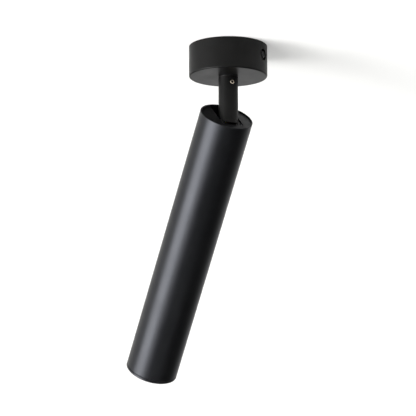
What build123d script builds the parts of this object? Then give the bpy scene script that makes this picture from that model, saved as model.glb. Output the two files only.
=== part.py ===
from build123d import *
import math
import os

# Surface mounted ceiling spotlight: a round canopy cup under the ceiling, a short
# swivelling stem, and a long tube head that hangs on a bolt through the stem's lower end.
#
# Millimetres, +Z up.  The origin is the centre of the canopy's open rim, in the plane of
# the ceiling.  The stem turns about Z.  The head tilts about a bolt along X, towards +Y.
# The model stands in the pose of the photograph, with the head tilted by HEAD_TILT.

# ---------------------------------------------------------------- driving dimensions
# canopy
CANOPY_DIAMETER = 80.0
CANOPY_HEIGHT = 32.0
CANOPY_WALL = 1.2
CANOPY_EDGE_RADIUS = 1.3
POCKET_DIAMETER = 12.0
POCKET_DEPTH = 2.6
CANOPY_SCREW_DIAMETER = 4.0
CANOPY_SCREW_DROP = 13.0
STRAP_BEARING = -51.0

# ceiling strap
STRAP_WIDTH = 20.0
STRAP_THICKNESS = 2.0
TAB_BELOW_SCREW = 6.0
CEILING_HOLE_DIAMETER = 4.8
CEILING_HOLE_SPACING = 50.0

# terminal block
POLE_PITCH = 8.5
BLOCK_DEPTH = 16.0
BLOCK_HEIGHT = 11.0
BLOCK_WIRE_HOLE_DIAMETER = 3.4
BLOCK_SCREW_DIAMETER = 3.0

# swivel
NIPPLE_DIAMETER = 10.0
NIPPLE_BORE = 7.0
NIPPLE_RISE = 6.0
SPIGOT_LENGTH = 18.0
LOCK_NUT_ACROSS_FLATS = 14.0
LOCK_NUT_THICKNESS = 3.2
LOCK_WASHER_THICKNESS = 0.8
SWIVEL_WASHER_THICKNESS = 0.5
SWIVEL_WASHER_STEP = 0.6

# stem
STEM_DIAMETER = 20.0
STEM_WALL = 1.5
PIVOT_BELOW_CANOPY = 50.4
STEM_TAIL = 8.0
STEM_RELIEF_RISE = 0.7
STEM_RELIEF_ANGLE = 20.0
GRUB_BELOW_CANOPY = 7.0
GRUB_DIAMETER = 5.0
GRUB_SOCKET_ACROSS_FLATS = 2.5

# tilt hinge
HEAD_TILT = 39.0
HINGE_BOLT_DIAMETER = 4.0
HINGE_NUT_ACROSS_FLATS = 7.0
HINGE_NUT_THICKNESS = 4.0
HINGE_WASHER_THICKNESS = 0.8
BUSH_WALL = 1.5
BUSH_FLANGE_DIAMETER = 10.5
BUSH_FLANGE_STAND = 0.8
EAR_THICKNESS = 1.5
EAR_DROP = 8.0
EAR_REACH = 8.0
FLANGE_WIDTH = 6.0
WEB_CLEARANCE = 1.1

# head, bored for the lamp
LAMP_DIAMETER = 50.0
LAMP_CLEARANCE = 1.0
TUBE_WALL = 1.5
HEAD_LENGTH = 305.0
CAP_RECESS = 1.2
CAP_THICKNESS = 1.5
PIVOT_BELOW_CAP = 6.0
PIVOT_OFFSET = 5.5
HINGE_SIDE = 2.0
SLOT_CLEARANCE = 1.6
SLOT_FRONT_CLEARANCE = 0.8
SLOT_CORNER_RADIUS = 2.0

# lamp end
FRONT_BAND = 3.0
FRONT_SEAM = 0.3
FRONT_LIP = 2.0
FRONT_SPIGOT = 7.0
BAFFLE_LENGTH = 12.0
BAFFLE_CONVERGE = 1.5
BAFFLE_STEPS = 5
LAMP_LENGTH = 48.0
LAMP_RIM_HEIGHT = 4.5
LAMP_RIM_WIDTH = 2.0
LAMP_BASE_DIAMETER = 20.0
LAMP_BASE_LENGTH = 9.0
LENS_THICKNESS = 1.5
LENS_AIR_GAP = 1.5
PIN_ROOT = 4.0
PIN_SPACING = 10.0
PIN_LENGTH = 6.5
PIN_DIAMETER = 3.2
PIN_HEAD_DIAMETER = 5.0
HOLDER_WIDTH = 28.0
HOLDER_DEPTH = 18.0
HOLDER_HEIGHT = 21.0
HOLDER_SCREW_DIAMETER = 3.0
CARRIER_THICKNESS = 1.2
CARRIER_SKIRT = 12.0

# leads
LEAD_DIAMETER = 2.0
LEAD_GAP = 0.3
LEAD_BEND = 4.0
LEAD_OUT_OF_BLOCK = 9.5
LEAD_INTO_BLOCK = 2.2
EARTH_LEAD_LOOP = 12.0
STEM_LEAD_STRAIGHT = 7.0
STEM_LEAD_CROSSING = 10.0
HOLDER_LEAD_RISE = 14.0
HEAD_EARTH_LEAD_DROP = 10.0

# fits
THREAD_CLEARANCE = 0.05
RUNNING_CLEARANCE = 0.05
HOLE_CLEARANCE = 0.25
SEAT_GAP = 0.3
EDGE_BREAK = 0.4

# ---------------------------------------------------------------- places worked out from them
CANOPY_R = CANOPY_DIAMETER / 2
CANOPY_BORE_R = CANOPY_R - CANOPY_WALL
CANOPY_FLOOR_TOP = -CANOPY_HEIGHT + CANOPY_WALL
POCKET_FLOOR_R = CANOPY_R - POCKET_DEPTH
TAB_FACE_R = POCKET_FLOOR_R - CANOPY_WALL - HOLE_CLEARANCE
STEM_R = STEM_DIAMETER / 2
STEM_BORE_R = STEM_R - STEM_WALL
STEM_TOP = -CANOPY_HEIGHT - SWIVEL_WASHER_THICKNESS - 2 * RUNNING_CLEARANCE
SPIGOT_R = STEM_BORE_R - RUNNING_CLEARANCE
SPIGOT_BOTTOM = -CANOPY_HEIGHT - SPIGOT_LENGTH
NIPPLE_TOP = CANOPY_FLOOR_TOP + NIPPLE_RISE
GRUB_Z = -CANOPY_HEIGHT - GRUB_BELOW_CANOPY
GRUB_GROOVE_DEPTH = 2.2
PIVOT_Z = -CANOPY_HEIGHT - PIVOT_BELOW_CANOPY
STEM_BOTTOM = PIVOT_Z - STEM_TAIL
BUSH_FACE_X = STEM_R + BUSH_FLANGE_STAND
BUSH_BORE_R = HINGE_BOLT_DIAMETER / 2 + RUNNING_CLEARANCE
BUSH_BARREL_R = BUSH_BORE_R + BUSH_WALL
EAR_INNER_X = BUSH_FACE_X + SEAT_GAP
EAR_OUTER_X = EAR_INNER_X + EAR_THICKNESS
TUBE_BORE_R = LAMP_DIAMETER / 2 + LAMP_CLEARANCE
TUBE_R = TUBE_BORE_R + TUBE_WALL
APERTURE_R = TUBE_BORE_R - FRONT_LIP
THROAT_R = APERTURE_R - BAFFLE_CONVERGE
SLOT_R = STEM_R + SLOT_CLEARANCE
SLOT_FRONT_Y = -PIVOT_OFFSET - STEM_R - SLOT_FRONT_CLEARANCE
PIVOT_BELOW_RIM = CAP_RECESS + PIVOT_BELOW_CAP
CAP_UNDERSIDE = -CAP_RECESS - CAP_THICKNESS
STEM_SWEEP_R = math.hypot(STEM_TAIL, STEM_R)
TUBE_END = -HEAD_LENGTH + FRONT_BAND + FRONT_SEAM
FRONT_SPIGOT_TOP = TUBE_END + FRONT_SPIGOT
BAFFLE_TOP = FRONT_SPIGOT_TOP + BAFFLE_LENGTH
LAMP_FACE = BAFFLE_TOP + HOLE_CLEARANCE
LAMP_SHOULDER = LAMP_FACE + LAMP_LENGTH
HOLDER_TOP = LAMP_SHOULDER + HOLE_CLEARANCE + HOLDER_HEIGHT
CARRIER_TOP = HOLDER_TOP + CARRIER_THICKNESS
LEAD_R = LEAD_DIAMETER / 2
BLOCK_LENGTH = 3 * POLE_PITCH + 2
BLOCK_BOTTOM = -STRAP_THICKNESS - BLOCK_HEIGHT
INSERT_HALF = 2.4
INSERT_REACH = BLOCK_DEPTH / 2 - 2.5
TERMINAL_SCREW_Y = BLOCK_DEPTH * 0.22
EARTH_X = -BLOCK_LENGTH / 2 - CANOPY_SCREW_DIAMETER - 0.6
EARTH_LUG_THICKNESS = 0.8
EARTH_LUG_R = CANOPY_SCREW_DIAMETER * 0.95
LUG_BARREL_WALL = 0.7
LUG_BARREL_LENGTH = 6.0
LUG_STOP = 2.0
LUG_BARREL_Z = -STRAP_THICKNESS - EARTH_LUG_THICKNESS / 2 - LEAD_R + 0.1
EARTH_THREAD_R = HINGE_BOLT_DIAMETER / 2 + THREAD_CLEARANCE
HEAD_EARTH_Z = -PIVOT_BELOW_RIM - 1.5
HEAD_LUG_STOP = EAR_DROP + LUG_STOP - 1.0
WEB_BACK_Y = -PIVOT_OFFSET - STEM_SWEEP_R - WEB_CLEARANCE - EAR_THICKNESS
HOLDER_FACE = HOLDER_TOP - HOLDER_HEIGHT
PIN_POCKET_DEPTH = PIN_LENGTH + 3.5
HOLDER_SCREW_X = HOLDER_WIDTH / 2 - 4.0
HOLDER_LEAD_X = LEAD_DIAMETER + 0.5
BLOCK_WIRE_Z = -STRAP_THICKNESS - BLOCK_HEIGHT / 2
POLES = [-POLE_PITCH, 0.0, POLE_PITCH]

# The head is drawn with its own origin at the centre of the tube's upper rim, the tube
# running down -Z.  The pivot is a little below the rim, on the -Y side of the tube's axis,
# and the stem's axis passes the tube's axis HINGE_SIDE towards +X.  What belongs to the
# hinge is drawn about the stem's axis and placed by TO_HINGE.
HEAD_PIVOT = (0, -PIVOT_OFFSET, -PIVOT_BELOW_RIM)
TO_STRAP = Rot(0, 0, STRAP_BEARING)
TO_HINGE = Pos(0, 0, PIVOT_Z) * Rot(HEAD_TILT, 0, 0) * Pos(0, PIVOT_OFFSET, PIVOT_BELOW_RIM)
TO_HEAD = TO_HINGE * Pos(-HINGE_SIDE, 0, 0)


def polar(radius, bearing):
    """X and Y of a point at a radius and a bearing about Z."""
    return (radius * math.cos(math.radians(bearing)), radius * math.sin(math.radians(bearing)))


def to_row(x, y):
    """A point of the strap's own frame as row X and Y."""
    turn = math.radians(STRAP_BEARING)
    return (x * math.cos(turn) - y * math.sin(turn), x * math.sin(turn) + y * math.cos(turn))


# The three leads share the nipple's bore, 120 degrees apart, and lie side by side on the
# stem's +Y wall further down, clear of the hinge bolt.
POLE_OF = {"neutral": POLES[0], "earth": POLES[1], "live": POLES[2]}
BORE_SPOT_R = NIPPLE_BORE / 2 - LEAD_R - LEAD_GAP - 0.15
WALL_SPOT_R = STEM_BORE_R - LEAD_R - LEAD_GAP
BORE_SPOTS = {name: polar(BORE_SPOT_R, bearing)
              for name, bearing in (("neutral", 210), ("earth", 90), ("live", 330))}
WALL_SPOTS = {name: polar(WALL_SPOT_R, bearing)
              for name, bearing in (("neutral", 114), ("earth", 90), ("live", 66))}


# ---------------------------------------------------------------- small tools
def rod(radius, start, end):
    """A round bar between two points."""
    run = Vector(*end) - Vector(*start)
    bar = Cylinder(radius, run.length, align=(Align.CENTER, Align.CENTER, Align.MIN))
    return Plane(origin=start, z_dir=run) * bar


def ring(outer_r, inner_r, top, bottom):
    """A round ring about the Z axis."""
    return rod(outer_r, (0, 0, bottom), (0, 0, top)) - rod(inner_r, (0, 0, bottom - 1), (0, 0, top + 1))


def hexagon(across_flats, start, end, turn=0.0):
    """A hexagonal bar between two points."""
    run = Vector(*end) - Vector(*start)
    face = RegularPolygon(across_flats / 2, 6, major_radius=False, rotation=turn)
    return Plane(origin=start, z_dir=run) * extrude(face, run.length)


def block(x_range, y_range, z_range):
    """A box given by its limits along X, Y and Z."""
    spans = (x_range, y_range, z_range)
    sizes = [high - low for low, high in spans]
    middle = [(high + low) / 2 for low, high in spans]
    return Pos(*middle) * Box(*sizes)


def turned(points):
    """A body of revolution about Z from a profile of (radius, height) points."""
    profile = make_face(Polyline(*[(r, 0, z) for r, z in points], close=True))
    return revolve(profile, Axis.Z)


def pan_screw(seat, into, shank_d, length):
    """A pan head screw with a crossed recess: its head stands on seat, its shank goes into."""
    head_r = shank_d * 0.95
    head_height = shank_d * 0.6
    head = Cylinder(head_r, head_height, align=(Align.CENTER, Align.CENTER, Align.MAX))
    head = fillet(head.edges().group_by(Axis.Z)[0], head_height * 0.6)
    shank = Cylinder(shank_d / 2, length, align=(Align.CENTER, Align.CENTER, Align.MIN))
    blade = Box(head_r * 1.1, shank_d * 0.2, head_height, align=(Align.CENTER, Align.CENTER, Align.CENTER))
    cross = Pos(0, 0, -head_height) * (blade + Rot(0, 0, 90) * blade)
    return Plane(origin=seat, z_dir=into) * (head + shank - cross)


def lead(points, largest=1000.0):
    """A round insulated lead with bends as large as its runs allow, or the largest named."""
    points = [Vector(*p) for p in points]
    radii = []
    for before, corner, after in zip(points, points[1:], points[2:]):
        turn = (corner - before).get_angle(after - corner)
        shorter = min((corner - before).length, (after - corner).length)
        radii.append(min(largest, 0.45 * shorter / math.tan(math.radians(turn / 2))))
    path = FilletPolyline(*points, radius=radii)
    section = Plane(origin=points[0], z_dir=points[1] - points[0]) * Circle(LEAD_R)
    print("   bends", [round(r, 1) for r in radii], "length", round(path.length, 1))
    return sweep(section, path)


# ---------------------------------------------------------------- canopy: fixed to the ceiling
def canopy_cup():
    cup = rod(CANOPY_R, (0, 0, -CANOPY_HEIGHT), (0, 0, 0))
    cup = fillet(cup.edges().group_by(Axis.Z)[0], CANOPY_EDGE_RADIUS)
    hollow = rod(CANOPY_BORE_R, (0, 0, CANOPY_FLOOR_TOP), (0, 0, 1))
    hollow = fillet(hollow.edges().group_by(Axis.Z)[0], CANOPY_EDGE_RADIUS / 2)
    outside = rod(CANOPY_R, (0, 0, -CANOPY_HEIGHT), (0, 0, 0))
    cup -= hollow
    boss_r = POCKET_DIAMETER / 2 + CANOPY_WALL
    for side in (1, -1):
        def along(radius):
            return (side * radius, 0, -CANOPY_SCREW_DROP)

        boss = rod(boss_r, along(POCKET_FLOOR_R - CANOPY_WALL), along(CANOPY_R)) & outside
        cup += boss
        cup -= rod(POCKET_DIAMETER / 2, along(POCKET_FLOOR_R), along(CANOPY_R + 1))
        hole_r = CANOPY_SCREW_DIAMETER / 2 + HOLE_CLEARANCE
        cup -= rod(hole_r, along(POCKET_FLOOR_R - 2 * CANOPY_WALL), along(CANOPY_R))
    cup -= rod(NIPPLE_DIAMETER / 2 + HOLE_CLEARANCE, (0, 0, -CANOPY_HEIGHT - 1), (0, 0, 0))
    return TO_STRAP * cup


def ceiling_strap():
    half = STRAP_WIDTH / 2
    tab_bottom = -CANOPY_SCREW_DROP - TAB_BELOW_SCREW
    strap = block((-TAB_FACE_R, TAB_FACE_R), (-half, half), (-STRAP_THICKNESS, 0))
    for side in (1, -1):
        faces = sorted((side * TAB_FACE_R, side * (TAB_FACE_R - STRAP_THICKNESS)))
        strap += block(faces, (-half + 2, half - 2), (tab_bottom, 0))
    bends = strap.edges().filter_by(Axis.Y).group_by(Axis.Z)[-1]
    strap = fillet(bends, STRAP_THICKNESS * 0.8)
    for side in (1, -1):
        hole_x = side * CEILING_HOLE_SPACING / 2
        strap -= rod(CEILING_HOLE_DIAMETER / 2, (hole_x, 0, -STRAP_THICKNESS - 1), (hole_x, 0, 1))
        thread_r = CANOPY_SCREW_DIAMETER / 2 + THREAD_CLEARANCE
        strap -= rod(thread_r, (side * (TAB_FACE_R - 3), 0, -CANOPY_SCREW_DROP),
                     (side * (TAB_FACE_R + 1), 0, -CANOPY_SCREW_DROP))
    block_thread_r = BLOCK_SCREW_DIAMETER / 2 + THREAD_CLEARANCE
    strap -= rod(block_thread_r, (POLE_PITCH / 2, 0, -STRAP_THICKNESS - 1), (POLE_PITCH / 2, 0, 1))
    earth_r = CANOPY_SCREW_DIAMETER / 2 + THREAD_CLEARANCE
    strap -= rod(earth_r, (EARTH_X, 0, -STRAP_THICKNESS - 1), (EARTH_X, 0, 1))
    return TO_STRAP * strap


def canopy_screws():
    screws = Compound(children=[
        pan_screw((side * POCKET_FLOOR_R, 0, -CANOPY_SCREW_DROP), (-side, 0, 0),
                  CANOPY_SCREW_DIAMETER, POCKET_FLOOR_R - TAB_FACE_R + STRAP_THICKNESS + 2)
        for side in (1, -1)])
    return TO_STRAP * screws


def earth_screw():
    seat_z = -STRAP_THICKNESS - EARTH_LUG_THICKNESS
    return TO_STRAP * pan_screw((EARTH_X, 0, seat_z), (0, 0, 1), CANOPY_SCREW_DIAMETER, -seat_z)


def earth_lug():
    bottom = -STRAP_THICKNESS - EARTH_LUG_THICKNESS
    edge = STRAP_WIDTH / 2
    neck_half = LEAD_R + LUG_BARREL_WALL / 2
    eye = rod(EARTH_LUG_R, (EARTH_X, 0, bottom), (EARTH_X, 0, -STRAP_THICKNESS))
    neck = block((EARTH_X - neck_half, EARTH_X + neck_half), (0, edge + LUG_STOP / 2),
                 (bottom, -STRAP_THICKNESS))
    barrel = rod(LEAD_R + LUG_BARREL_WALL, (EARTH_X, edge + LUG_STOP / 4, LUG_BARREL_Z),
                 (EARTH_X, edge + LUG_BARREL_LENGTH, LUG_BARREL_Z))
    socket = rod(LEAD_R + THREAD_CLEARANCE, (EARTH_X, edge + LUG_STOP, LUG_BARREL_Z),
                 (EARTH_X, edge + 2 * LUG_BARREL_LENGTH, LUG_BARREL_Z))
    hole = rod(CANOPY_SCREW_DIAMETER / 2 + HOLE_CLEARANCE, (EARTH_X, 0, BLOCK_BOTTOM), (EARTH_X, 0, 1))
    return TO_STRAP * (eye + neck + barrel - socket - hole)


def terminal_block():
    half_depth = BLOCK_DEPTH / 2
    body = block((-BLOCK_LENGTH / 2, BLOCK_LENGTH / 2), (-half_depth, half_depth),
                 (BLOCK_BOTTOM, -STRAP_THICKNESS))
    body = fillet(body.edges().filter_by(Axis.Z), 1.5)
    for x in (-POLE_PITCH / 2, POLE_PITCH / 2):
        for side in (1, -1):
            body -= rod(1.2, (x, side * half_depth, BLOCK_BOTTOM - 1), (x, side * half_depth, 0))
    for x in POLES:
        body -= rod(BLOCK_WIRE_HOLE_DIAMETER / 2, (x, -half_depth - 1, BLOCK_WIRE_Z),
                    (x, half_depth + 1, BLOCK_WIRE_Z))
        body -= block((x - INSERT_HALF, x + INSERT_HALF), (-INSERT_REACH, INSERT_REACH),
                      (BLOCK_WIRE_Z - INSERT_HALF, BLOCK_WIRE_Z + INSERT_HALF))
        for y in (-TERMINAL_SCREW_Y, TERMINAL_SCREW_Y):
            body -= rod(BLOCK_SCREW_DIAMETER / 2 + HOLE_CLEARANCE, (x, y, BLOCK_BOTTOM - 1),
                        (x, y, BLOCK_WIRE_Z))
    body -= rod(BLOCK_SCREW_DIAMETER / 2 + HOLE_CLEARANCE, (POLE_PITCH / 2, 0, BLOCK_BOTTOM - 1),
                (POLE_PITCH / 2, 0, 0))
    return TO_STRAP * body


def terminal_inserts():
    inserts = []
    half = INSERT_HALF - THREAD_CLEARANCE
    reach = INSERT_REACH - THREAD_CLEARANCE
    for x in POLES:
        insert = block((x - half, x + half), (-reach, reach), (BLOCK_WIRE_Z - half, BLOCK_WIRE_Z + half))
        insert -= rod(LEAD_R + 0.4, (x, -reach - 1, BLOCK_WIRE_Z), (x, reach + 1, BLOCK_WIRE_Z))
        for y in (-TERMINAL_SCREW_Y, TERMINAL_SCREW_Y):
            insert -= rod(BLOCK_SCREW_DIAMETER / 2 + THREAD_CLEARANCE, (x, y, BLOCK_BOTTOM),
                          (x, y, BLOCK_WIRE_Z))
        inserts.append(insert)
    return TO_STRAP * Compound(children=inserts)


def terminal_screws():
    screws = []
    top = BLOCK_WIRE_Z - LEAD_R - 0.2
    for x in POLES:
        for y in (-TERMINAL_SCREW_Y, TERMINAL_SCREW_Y):
            screw = rod(BLOCK_SCREW_DIAMETER / 2, (x, y, BLOCK_BOTTOM + 1), (x, y, top))
            screw -= block((x - 2, x + 2), (y - 0.3, y + 0.3), (BLOCK_BOTTOM, BLOCK_BOTTOM + 1.8))
            screws.append(screw)
    return TO_STRAP * Compound(children=screws)


def terminal_fixing_screw():
    return TO_STRAP * pan_screw((POLE_PITCH / 2, 0, BLOCK_BOTTOM), (0, 0, 1), BLOCK_SCREW_DIAMETER,
                                BLOCK_HEIGHT + STRAP_THICKNESS - 0.2)


def swivel_spigot():
    groove_half = GRUB_DIAMETER / 2 + SEAT_GAP
    groove_r = SPIGOT_R - GRUB_GROOVE_DEPTH
    spigot = turned([
        (NIPPLE_BORE / 2, NIPPLE_TOP), (NIPPLE_DIAMETER / 2 - EDGE_BREAK, NIPPLE_TOP),
        (NIPPLE_DIAMETER / 2, NIPPLE_TOP - EDGE_BREAK), (NIPPLE_DIAMETER / 2, -CANOPY_HEIGHT),
        (SPIGOT_R, -CANOPY_HEIGHT), (SPIGOT_R, GRUB_Z + groove_half), (groove_r, GRUB_Z + groove_half),
        (groove_r, GRUB_Z - groove_half), (SPIGOT_R, GRUB_Z - groove_half),
        (SPIGOT_R, SPIGOT_BOTTOM + EDGE_BREAK), (SPIGOT_R - EDGE_BREAK, SPIGOT_BOTTOM),
        (NIPPLE_BORE / 2, SPIGOT_BOTTOM)])
    return spigot


def lock_washer():
    top = CANOPY_FLOOR_TOP + LOCK_WASHER_THICKNESS
    outer_r = LOCK_NUT_ACROSS_FLATS / 2 + 1.5
    washer = ring(outer_r, NIPPLE_DIAMETER / 2 + HOLE_CLEARANCE, top, CANOPY_FLOOR_TOP)
    teeth = 12
    for tooth in range(teeth):
        notch = block((outer_r - 1.2, outer_r + 1), (-0.6, 0.6), (CANOPY_FLOOR_TOP - 1, top + 1))
        washer -= Rot(0, 0, tooth * 360 / teeth) * notch
    return washer


def lock_nut():
    bottom = CANOPY_FLOOR_TOP + LOCK_WASHER_THICKNESS
    top = bottom + LOCK_NUT_THICKNESS
    nut = hexagon(LOCK_NUT_ACROSS_FLATS, (0, 0, bottom), (0, 0, top))
    corner_r = LOCK_NUT_ACROSS_FLATS / math.sqrt(3)
    rounded = Pos(0, 0, (top + bottom) / 2) * Cylinder(corner_r, LOCK_NUT_THICKNESS)
    rounded = chamfer(rounded.edges().filter_by(GeomType.CIRCLE), 0.5)
    return (nut & rounded) - rod(NIPPLE_DIAMETER / 2 + THREAD_CLEARANCE, (0, 0, bottom - 1), (0, 0, top + 1))


def swivel_washer():
    outer_r = STEM_R - SWIVEL_WASHER_STEP
    return ring(outer_r, SPIGOT_R + 0.15, -CANOPY_HEIGHT, -CANOPY_HEIGHT - SWIVEL_WASHER_THICKNESS)


def canopy_lead(name):
    pole = POLE_OF[name]
    bore_x, bore_y = BORE_SPOTS[name]
    shelf = NIPPLE_TOP + (3.8 if name == "earth" else 1.8) * LEAD_DIAMETER
    face = -BLOCK_DEPTH / 2
    start = to_row(pole, face + LEAD_INTO_BLOCK)
    out = to_row(pole, face - LEAD_OUT_OF_BLOCK)
    down = to_row(pole * 0.7, face - LEAD_OUT_OF_BLOCK * 0.85)
    return lead([
        (*start, BLOCK_WIRE_Z), (*out, BLOCK_WIRE_Z - LEAD_R * 0.8), (*down, shelf - LEAD_R * 0.6),
        (bore_x, bore_y, shelf), (bore_x, bore_y, SPIGOT_BOTTOM)], LEAD_BEND)


def strap_earth_lead():
    lug_z = LUG_BARREL_Z
    lug_end = STRAP_WIDTH / 2 + LUG_STOP + THREAD_CLEARANCE
    loop = STRAP_WIDTH / 2 + EARTH_LEAD_LOOP
    points = [(POLES[0], BLOCK_DEPTH / 2 - LEAD_INTO_BLOCK, BLOCK_WIRE_Z), (POLES[0], loop, BLOCK_WIRE_Z),
              (EARTH_X, loop, lug_z), (EARTH_X, lug_end, lug_z)]
    return lead([(*to_row(x, y), z) for x, y, z in points], LEAD_BEND)


# ---------------------------------------------------------------- stem: turns about Z
def stem_tube():
    stem = ring(STEM_R, STEM_BORE_R, STEM_TOP, STEM_BOTTOM)
    stem = chamfer(stem.edges().filter_by(GeomType.CIRCLE).group_by(Axis.Z)[0], EDGE_BREAK)
    stem -= rod(BUSH_BARREL_R + THREAD_CLEARANCE, (-STEM_R - 1, 0, PIVOT_Z), (STEM_R + 1, 0, PIVOT_Z))
    stem -= rod(GRUB_DIAMETER / 2 + THREAD_CLEARANCE, (0, -STEM_R - 1, GRUB_Z), (0, 0, GRUB_Z))
    # The front wall is cut away beside the bushes, on a slope, so that the cap can pass it.
    across = (-STEM_DIAMETER, STEM_DIAMETER)
    below = Pos(0, -STEM_R, PIVOT_Z + STEM_RELIEF_RISE) * Rot(STEM_RELIEF_ANGLE, 0, 0) * block(
        across, across, (-STEM_DIAMETER, 0))
    front = block(across, (-STEM_DIAMETER, -BUSH_FLANGE_DIAMETER / 2 - BUSH_FLANGE_STAND),
                  (STEM_BOTTOM - 1, PIVOT_Z + STEM_R))
    return stem - (below & front)


def grub_screw():
    outer = -STEM_R + 0.35
    tip = -(SPIGOT_R - GRUB_GROOVE_DEPTH) - SEAT_GAP
    screw = rod(GRUB_DIAMETER / 2, (0, outer, GRUB_Z), (0, tip, GRUB_Z))
    screw = chamfer(screw.edges().filter_by(GeomType.CIRCLE), 0.35)
    return screw - hexagon(GRUB_SOCKET_ACROSS_FLATS, (0, outer - 1, GRUB_Z), (0, outer + 2.0, GRUB_Z))


def pivot_bushes():
    bushes = []
    for side in (1, -1):
        def at(x):
            return (side * x, 0, PIVOT_Z)

        flange = rod(BUSH_FLANGE_DIAMETER / 2, at(STEM_BORE_R), at(BUSH_FACE_X))
        reach = BUSH_FLANGE_DIAMETER
        flange -= rod(STEM_R + THREAD_CLEARANCE, (0, 0, PIVOT_Z - reach), (0, 0, PIVOT_Z + reach))
        barrel = rod(BUSH_BARREL_R, at(STEM_BORE_R - 0.6), at(BUSH_FACE_X))
        bushes.append(flange + barrel - rod(BUSH_BORE_R, at(0), at(STEM_DIAMETER)))
    return Compound(children=bushes)


def stem_lead(name):
    bore_x, bore_y = BORE_SPOTS[name]
    wall_x, wall_y = WALL_SPOTS[name]
    turn_off = SPIGOT_BOTTOM - STEM_LEAD_STRAIGHT
    return lead([
        (bore_x, bore_y, SPIGOT_BOTTOM - 2 * SEAT_GAP), (bore_x, bore_y, turn_off),
        (wall_x, wall_y, turn_off - STEM_LEAD_CROSSING), (wall_x, wall_y, STEM_BOTTOM + EDGE_BREAK)])


# ---------------------------------------------------------------- head: tilts about the bolt
def lamp_tube():
    tube = ring(TUBE_R, TUBE_BORE_R, 0, TUBE_END)
    rims = tube.edges().filter_by(GeomType.CIRCLE)
    return TO_HEAD * chamfer(rims, 0.3)


def top_cap():
    cap = rod(TUBE_BORE_R - THREAD_CLEARANCE, (0, 0, CAP_UNDERSIDE), (0, 0, -CAP_RECESS))
    slot = block((-SLOT_R, SLOT_R), (SLOT_FRONT_Y, 2 * TUBE_R), (-PIVOT_BELOW_RIM, 1))
    near_corners = slot.edges().filter_by(Axis.Z).group_by(Axis.Y)[0]
    slot = Pos(HINGE_SIDE, 0, 0) * fillet(near_corners, SLOT_CORNER_RADIUS)
    return TO_HEAD * (cap - slot)


def hinge_bracket():
    pivot_y, pivot_z = HEAD_PIVOT[1], HEAD_PIVOT[2]
    web_face = WEB_BACK_Y + EAR_THICKNESS
    web_back = WEB_BACK_Y
    ear_end = pivot_y + EAR_REACH
    bottom = pivot_z - EAR_DROP
    bracket = block((-EAR_OUTER_X, EAR_OUTER_X), (web_back, web_face), (bottom, CAP_UNDERSIDE))
    for side in (1, -1):
        ear_x = sorted((side * EAR_INNER_X, side * EAR_OUTER_X))
        ear = block(ear_x, (web_back, ear_end), (bottom, CAP_UNDERSIDE))
        lower_edge = ear.edges().filter_by(Axis.X).group_by(Axis.Y)[-1].group_by(Axis.Z)[0]
        bracket += fillet(lower_edge, EAR_DROP * 0.6)
        near_tab = (web_back, pivot_y - HINGE_NUT_ACROSS_FLATS)
        far_tab = (pivot_y + HINGE_NUT_ACROSS_FLATS * 0.8, ear_end)
        for tab_y in (near_tab, far_tab):
            tab_x = sorted((side * EAR_INNER_X, side * (EAR_OUTER_X + FLANGE_WIDTH)))
            bracket += block(tab_x, tab_y, (CAP_UNDERSIDE - EAR_THICKNESS, CAP_UNDERSIDE))
    bracket = bracket & rod(TUBE_BORE_R - 0.4, (-HINGE_SIDE, 0, bottom - 1), (-HINGE_SIDE, 0, 0))
    bracket -= rod(HINGE_BOLT_DIAMETER / 2 + THREAD_CLEARANCE, (-TUBE_R, pivot_y, pivot_z),
                   (TUBE_R, pivot_y, pivot_z))
    bracket -= rod(EARTH_THREAD_R, (0, web_back - 1, HEAD_EARTH_Z), (0, web_face + 1, HEAD_EARTH_Z))
    return TO_HINGE * bracket


def head_earth_screw():
    seat = (0, WEB_BACK_Y - EARTH_LUG_THICKNESS, HEAD_EARTH_Z)
    head_height = TUBE_BORE_R + seat[1] - 0.4
    screw = rod(HINGE_BOLT_DIAMETER / 2, (0, WEB_BACK_Y + EAR_THICKNESS, HEAD_EARTH_Z), seat)
    screw += rod(HINGE_BOLT_DIAMETER * 0.9, seat, (0, seat[1] - min(head_height, 2.0), HEAD_EARTH_Z))
    return TO_HINGE * screw


def head_earth_lug():
    back = WEB_BACK_Y - EARTH_LUG_THICKNESS
    eye = rod(HINGE_BOLT_DIAMETER * 0.95, (0, back, HEAD_EARTH_Z), (0, WEB_BACK_Y, HEAD_EARTH_Z))
    neck_half = LEAD_R + LUG_BARREL_WALL / 2
    barrel_top = HEAD_EARTH_Z - HEAD_LUG_STOP + LUG_STOP
    barrel_bottom = barrel_top - LUG_BARREL_LENGTH
    eye += block((-neck_half, neck_half), (back, WEB_BACK_Y), (barrel_top - LUG_STOP / 4, HEAD_EARTH_Z))
    barrel_y = WEB_BACK_Y - EARTH_LUG_THICKNESS / 2
    eye += rod(LEAD_R + LUG_BARREL_WALL, (0, barrel_y, barrel_bottom), (0, barrel_y, barrel_top))
    eye -= rod(LEAD_R + THREAD_CLEARANCE, (0, barrel_y, barrel_bottom - 1),
               (0, barrel_y, barrel_top - LUG_STOP))
    eye -= rod(HINGE_BOLT_DIAMETER / 2 + HOLE_CLEARANCE, (0, back - 1, HEAD_EARTH_Z),
               (0, WEB_BACK_Y + 1, HEAD_EARTH_Z))
    return TO_HINGE * eye


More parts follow.
